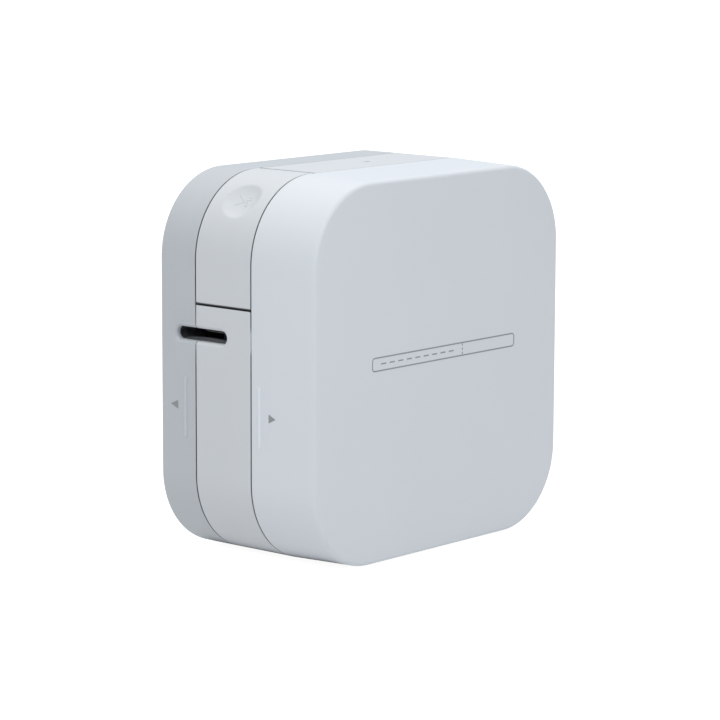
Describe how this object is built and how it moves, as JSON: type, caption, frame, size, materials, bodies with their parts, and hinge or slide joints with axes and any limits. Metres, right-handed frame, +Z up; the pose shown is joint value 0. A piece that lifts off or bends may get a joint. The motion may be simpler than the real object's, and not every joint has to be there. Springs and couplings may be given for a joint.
{
  "type": "label maker",
  "caption": "Compact cube-shaped battery label printer with a tape slot in a narrow side, a corner cutter lever and two pull-off covers.",
  "frame": {"origin": "middle of the footprint, on the surface it stands on", "axes": "+X along the wide faces away from the tape slot, +Y towards the cassette cover, +Z up"},
  "size_m": [0.1156, 0.061, 0.115],
  "materials": {
    "shell": "fine matt white",
    "frame_plastic": "matt grey",
    "steel": "ground",
    "plate_steel": "zinc plated",
    "blade_steel": "ground",
    "spring_steel": "nickel plated",
    "screw_steel": "zinc plated",
    "black_plastic": "matt",
    "board": "solder resist",
    "lens": "clear",
    "cassette_clear": "smooth",
    "tape": "smooth",
    "ribbon": "smooth",
    "gear_plastic": "natural",
    "lever_blue": "matt",
    "roller_rubber": "matt",
    "sink": "extruded",
    "head_ceramic": "glazed",
    "motor_steel": "plated",
    "pinion_brass": "turned",
    "cell_skin": "gloss sleeve",
    "radio_tin": "tinned"
  },
  "bodies": {
    "chassis": {"housing_band": "shell", "chassis_plate": "frame_plastic", "lever_pin": "steel", "lever_bracket": "plate_steel", "lever_spring": "spring_steel", "cutter_frame": "plate_steel", "fixed_blade": "blade_steel", "blade_pin": "steel", "power_switch": "black_plastic", "side_board": "board", "dc_jack": "black_plastic", "led_lens": "lens", "led_board": "board", "cassette_bay": "frame_plastic", "cassette_case": "black_plastic", "cassette_lid": "cassette_clear", "label_tape": "tape", "head_pin": "steel", "head_spring": "spring_steel", "release_pin": "steel", "platen_bracket": "plate_steel", "gear_axles": "steel", "gear_plate": "plate_steel", "motor_can": "motor_steel", "motor_cap": "black_plastic", "battery_tray": "frame_plastic", "battery_1": "cell_skin", "battery_2": "cell_skin", "battery_3": "cell_skin", "battery_4": "cell_skin", "battery_5": "cell_skin", "battery_6": "cell_skin", "battery_springs": "spring_steel", "battery_contacts": "spring_steel", "main_board": "board", "radio_module": "radio_tin", "board_parts": "black_plastic", "chassis_screws": "screw_steel", "frame_screws": "screw_steel"},
    "battery_cover": {"battery_cover": "shell"},
    "cassette_cover": {"cassette_cover": "shell"},
    "cutter_lever": {"cutter_lever": "shell"},
    "moving_blade": {"moving_blade": "blade_steel"},
    "power_button": {"power_button": "shell"},
    "head_arm": {"head_arm": "plate_steel", "heat_sink": "sink", "print_head": "head_ceramic"},
    "release_lever": {"release_lever": "lever_blue"},
    "platen": {"platen_roller": "roller_rubber", "platen_shaft": "steel", "platen_gear": "gear_plastic"},
    "takeup": {"takeup_spindle": "gear_plastic", "takeup_spool": "ribbon"},
    "tape_spool": {"tape_spool": "tape"},
    "ribbon_spool": {"ribbon_spool": "ribbon"},
    "gear_1": {"gear_1": "gear_plastic"},
    "gear_2": {"gear_2": "gear_plastic"},
    "motor_rotor": {"motor_shaft": "steel", "motor_pinion": "pinion_brass"}
  },
  "joints": [
    {"name": "battery_cover_pull", "type": "slide", "parent": "chassis", "child": "battery_cover", "axis": [0, -1, 0], "range_m": [0, 0.03]},
    {"name": "cassette_cover_pull", "type": "slide", "parent": "chassis", "child": "cassette_cover", "axis": [0, 1, 0], "range_m": [0, 0.022]},
    {"name": "cutter_press", "type": "hinge", "parent": "chassis", "child": "cutter_lever", "pos_m": [-0.0315, 0.0048, 0.109], "axis": [0, -1, 0], "range_deg": [0, 7.5], "stiffness_Nm_per_rad": 0.6},
    {"name": "blade_swing", "type": "hinge", "parent": "chassis", "child": "moving_blade", "pos_m": [-0.0529, -0.007, 0.066], "axis": [-1, 0, 0], "range_deg": [0, 22.5]},
    {"name": "power_press", "type": "slide", "parent": "chassis", "child": "power_button", "axis": [-1, 0, 0], "range_m": [0, 0.0006], "stiffness_N_per_m": 800},
    {"name": "release_turn", "type": "hinge", "parent": "chassis", "child": "release_lever", "pos_m": [-0.044, 0.0065, 0.038], "axis": [0, -1, 0], "range_deg": [0, 25]},
    {"name": "head_swing", "type": "hinge", "parent": "chassis", "child": "head_arm", "pos_m": [-0.047, 0.006, 0.056], "axis": [0, 1, 0], "range_deg": [0, 8], "stiffness_Nm_per_rad": 0.05},
    {"name": "gear_2_spin", "type": "hinge", "parent": "chassis", "child": "gear_2", "pos_m": [-0.02372, -0.003, 0.07715], "axis": [0, 1, 0], "continuous": true},
    {"name": "gear_1_spin", "type": "hinge", "parent": "chassis", "child": "gear_1", "pos_m": [-0.00052, -0.005, 0.07755], "axis": [0, 1, 0], "continuous": true},
    {"name": "motor_spin", "type": "hinge", "parent": "chassis", "child": "motor_rotor", "pos_m": [0.02, 0, 0.09], "axis": [0, 1, 0], "continuous": true},
    {"name": "platen_spin", "type": "hinge", "parent": "chassis", "child": "platen", "pos_m": [-0.038, 0.01, 0.07195], "axis": [0, 1, 0], "continuous": true},
    {"name": "takeup_spin", "type": "hinge", "parent": "chassis", "child": "takeup", "pos_m": [-0.01358, 0.008, 0.05808], "axis": [0, 1, 0], "continuous": true},
    {"name": "tape_spool_spin", "type": "hinge", "parent": "chassis", "child": "tape_spool", "pos_m": [0.022, 0.0128, 0.04], "axis": [0, 1, 0], "continuous": true},
    {"name": "ribbon_spool_spin", "type": "hinge", "parent": "chassis", "child": "ribbon_spool", "pos_m": [-0.012, 0.0128, 0.032], "axis": [0, 1, 0], "continuous": true}
  ],
  "couplings": [
    {"joint": "blade_swing", "follows": "cutter_press", "ratio": 3},
    {"joint": "head_swing", "follows": "release_turn", "ratio": 0.32},
    {"joint": "gear_1_spin", "follows": "gear_2_spin", "ratio": -3.1429},
    {"joint": "motor_spin", "follows": "gear_2_spin", "ratio": 12.571},
    {"joint": "platen_spin", "follows": "gear_2_spin", "ratio": -0.58333},
    {"joint": "takeup_spin", "follows": "gear_2_spin", "ratio": -0.35},
    {"joint": "tape_spool_spin", "follows": "gear_2_spin", "ratio": 0.15054},
    {"joint": "ribbon_spool_spin", "follows": "gear_2_spin", "ratio": 0.25926}
  ]
}
